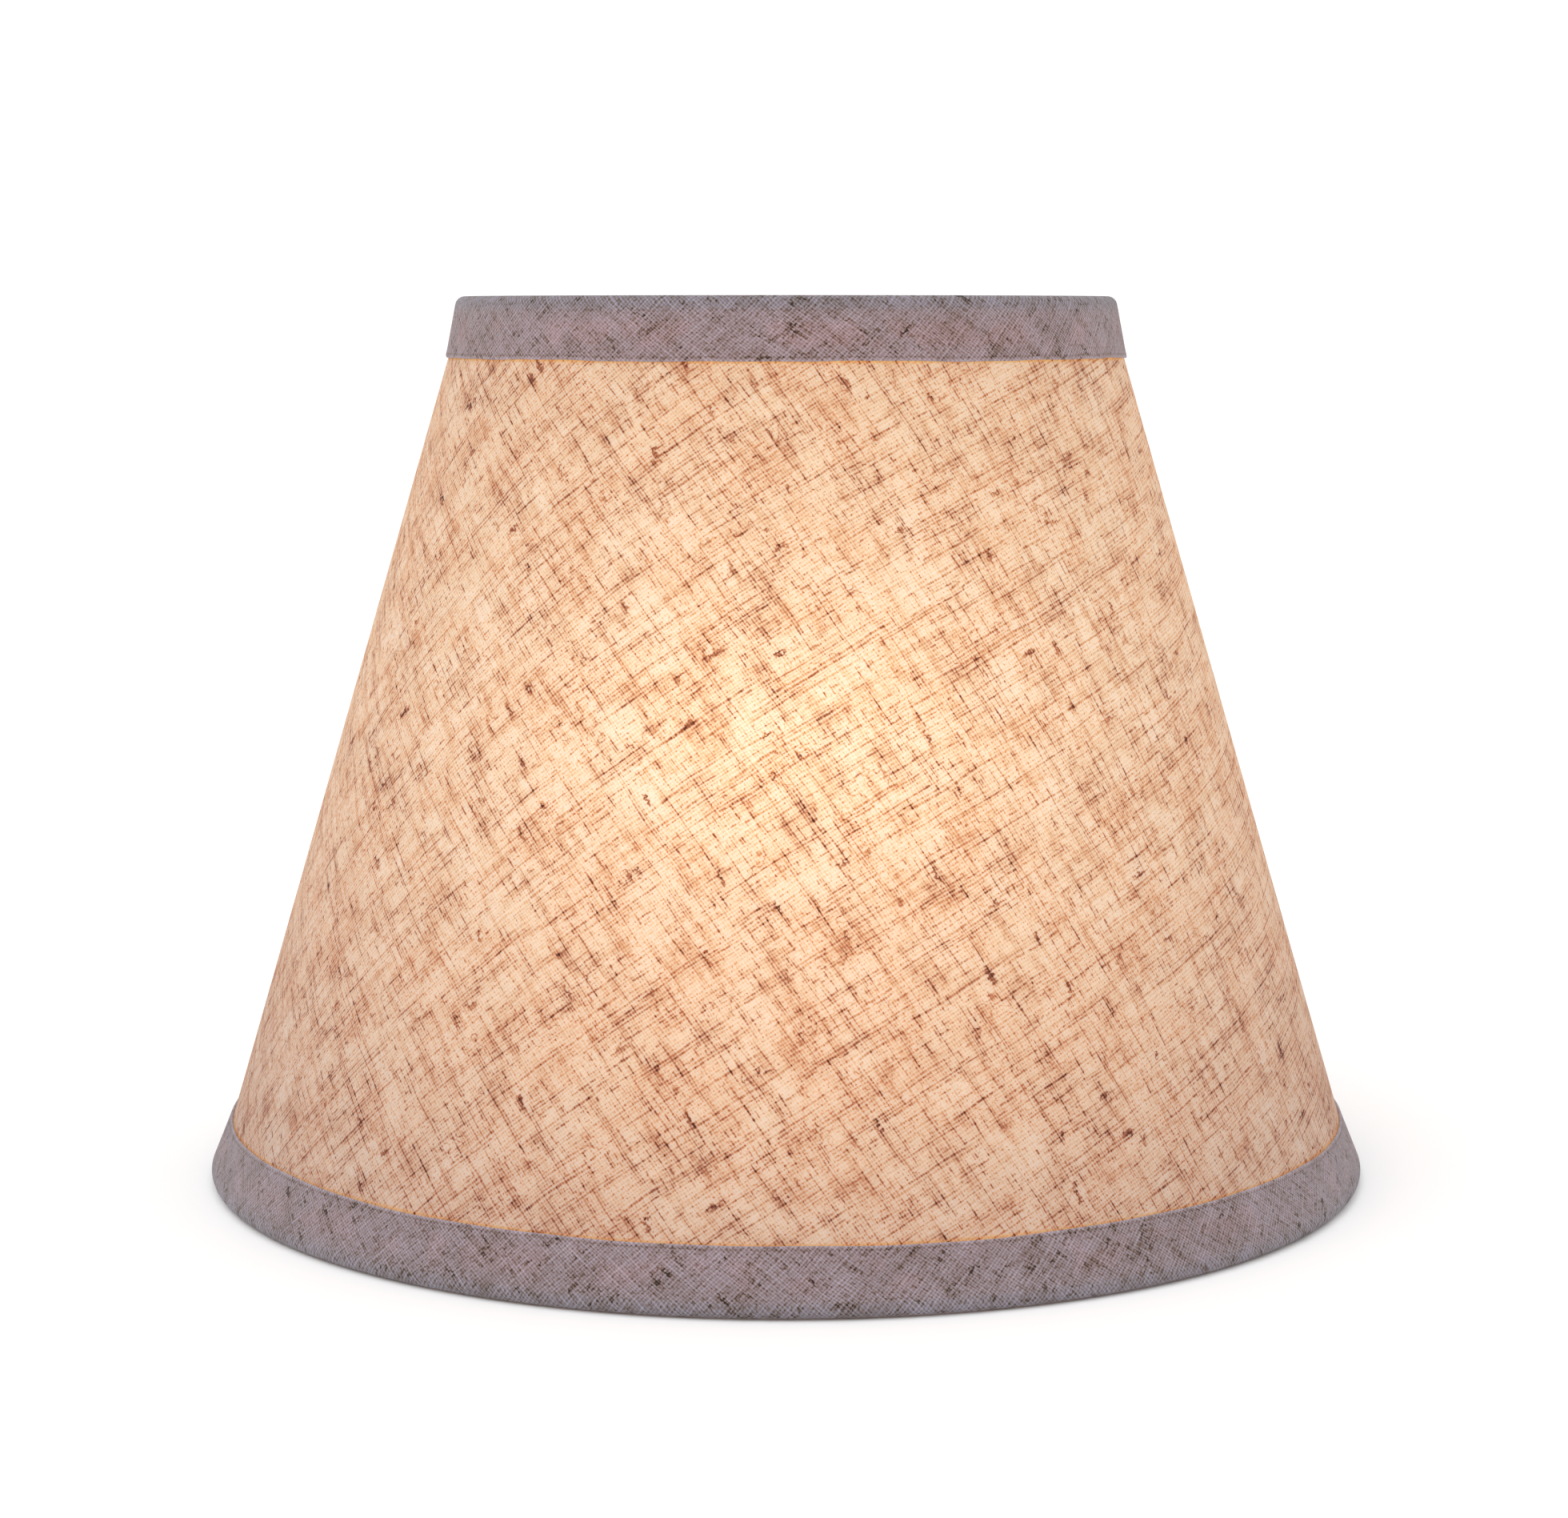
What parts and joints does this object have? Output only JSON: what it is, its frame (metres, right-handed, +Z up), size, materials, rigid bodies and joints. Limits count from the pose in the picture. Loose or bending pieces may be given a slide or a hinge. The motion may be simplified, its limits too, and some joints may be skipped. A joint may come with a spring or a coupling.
{
  "type": "lamp shade",
  "caption": "Hardback empire lamp shade: linen laminated to a styrene cone, bias-taped wire rims, recessed spider fitter with a washer for a harp.",
  "frame": {"origin": "centre of the bottom rim, at the height of the tape's lowest point", "axes": "+Z up along the shade's axis and the harp hole's, +Y towards the glued lap at the back, -Y towards the front"},
  "size_m": [0.228, 0.228, 0.1715],
  "materials": {
    "linen": "oatmeal linen weave with brown slubs",
    "trim": "bias-cut linen tape, folded edges",
    "styrene": "matt white translucent sheet",
    "adhesive": "clear double-sided strip",
    "wire": "bright nickel-plated steel wire",
    "washer": "bright nickel-plated stamping"
  },
  "bodies": {
    "root": {"linen_panel": "linen", "liner": "styrene", "seam_tape": "adhesive", "top_ring": "wire", "bottom_ring": "wire", "spider_arm_1": "wire", "spider_arm_2": "wire", "spider_arm_3": "wire", "hub": "washer", "top_trim": "trim", "bottom_trim": "trim"}
  },
  "joints": []
}
